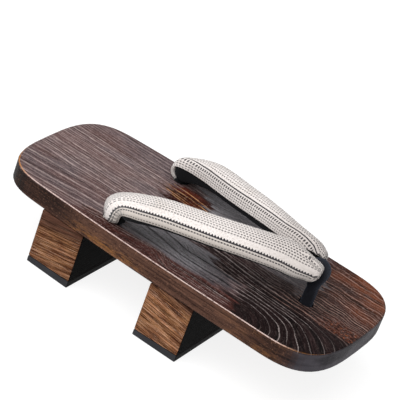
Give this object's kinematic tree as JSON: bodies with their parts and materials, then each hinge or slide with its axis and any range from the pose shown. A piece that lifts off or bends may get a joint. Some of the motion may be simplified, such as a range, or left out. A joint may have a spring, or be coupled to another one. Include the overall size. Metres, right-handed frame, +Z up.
{
  "type": "geta sandal",
  "caption": "Wooden clog sandal: a footboard on cross teeth with rubber treads, a padded knit V strap and a toe thong.",
  "frame": {"origin": "on the floor, under the middle of the footboard", "axes": "+X to the toe, +Y to the wearer's left, +Z up"},
  "size_m": [0.27, 0.125, 0.0984],
  "materials": {
    "deck_wood": "charred and brushed, satin",
    "tooth_wood": "sawn, satin",
    "tread_rubber": "plain, matt",
    "knit": "off-white knit with dark dashes, padded",
    "velvet": "black pile"
  },
  "bodies": {
    "root": {"deck": "deck_wood", "front_tooth": "tooth_wood", "rear_tooth": "tooth_wood", "front_pad": "tread_rubber", "rear_pad": "tread_rubber", "strap": "knit", "toe_thong": "velvet"}
  },
  "joints": []
}
